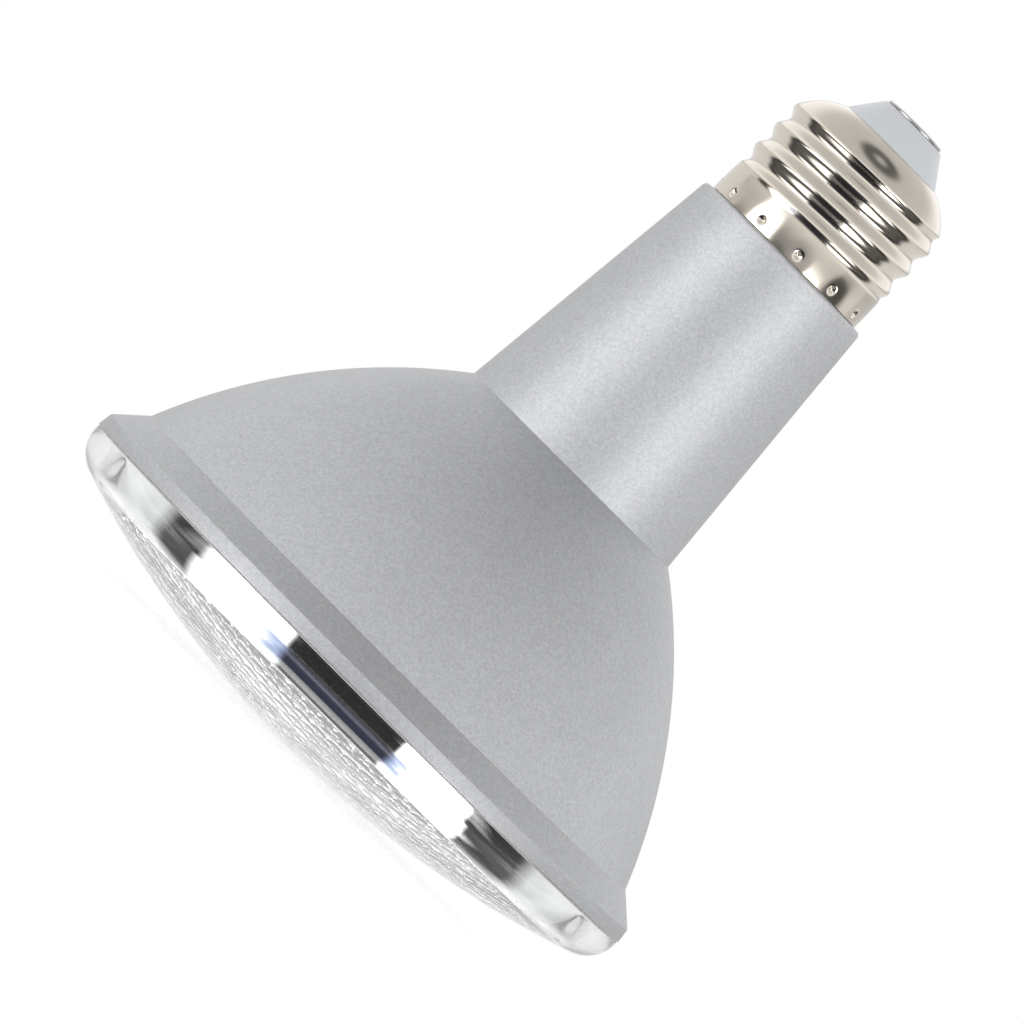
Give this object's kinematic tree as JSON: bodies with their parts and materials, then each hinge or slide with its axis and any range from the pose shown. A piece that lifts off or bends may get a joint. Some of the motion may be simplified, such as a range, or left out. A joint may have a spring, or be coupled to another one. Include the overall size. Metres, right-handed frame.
{
  "type": "par spotlight bulb",
  "caption": "Reflector spotlight lamp with a silver bowl and long tapered neck, a clear domed lens over a mirrored cup, and a medium screw cap.",
  "frame": {"origin": "apex of the lens dome, the point that the lamp stands on with its cap up", "axes": "+Z along the lamp's axis from the lens to the centre contact; +Y across the faces of the driver board, +X along its width"},
  "size_m": [0.095, 0.095, 0.1147],
  "materials": {
    "silver_paint": "metallic paint with fine flakes, satin",
    "clear_polycarbonate": "clear, polished outside, lenslets inside",
    "silicone": "grey silicone, matt",
    "mirror_metallising": "vacuum metallised, bright",
    "nickel_plate": "nickel plate, slightly warm",
    "white_insulator": "white, smooth",
    "tinned_contact": "tinned metal, satin",
    "white_solder_mask": "white mask on a metal core",
    "white_package": "white moulding",
    "phosphor": "yellow phosphor in silicone",
    "zinc_screw": "zinc plated",
    "solder": "bright solder",
    "thermal_pad": "grey pad, matt",
    "bare_aluminium": "turned",
    "sleeve_plastic": "white moulding",
    "circuit_board": "green mask",
    "can_sleeve": "black film",
    "choke_sleeve": "black film",
    "ferrite": "dark grey, matt",
    "bobbin_plastic": "black moulding",
    "winding_tape": "yellow tape",
    "fuse_plastic": "brown moulding",
    "package_black": "black moulding",
    "live_insulation": "red insulation",
    "neutral_wire": "tinned wire",
    "lead_insulation": "white insulation"
  },
  "bodies": {
    "root": {"housing": "silver_paint", "lens": "clear_polycarbonate", "lens_gasket": "silicone", "reflector": "mirror_metallising", "screw_shell": "nickel_plate", "base_insulator": "white_insulator", "centre_contact": "tinned_contact", "led_board": "white_solder_mask", "led_packages": "white_package", "led_phosphors": "phosphor", "board_screws": "zinc_screw", "solder_joints": "solder", "thermal_pad": "thermal_pad", "heat_spreader": "bare_aluminium", "insulating_disc": "sleeve_plastic", "driver_sleeve": "sleeve_plastic", "driver_board": "circuit_board", "input_capacitor": "can_sleeve", "output_capacitor": "can_sleeve", "input_choke": "choke_sleeve", "transformer_core": "ferrite", "transformer_bobbin": "bobbin_plastic", "transformer_winding": "winding_tape", "fuse": "fuse_plastic", "bridge_rectifier": "package_black", "driver_chip": "package_black", "output_diode": "package_black", "live_lead": "live_insulation", "neutral_lead": "neutral_wire", "led_leads": "lead_insulation"}
  },
  "joints": []
}
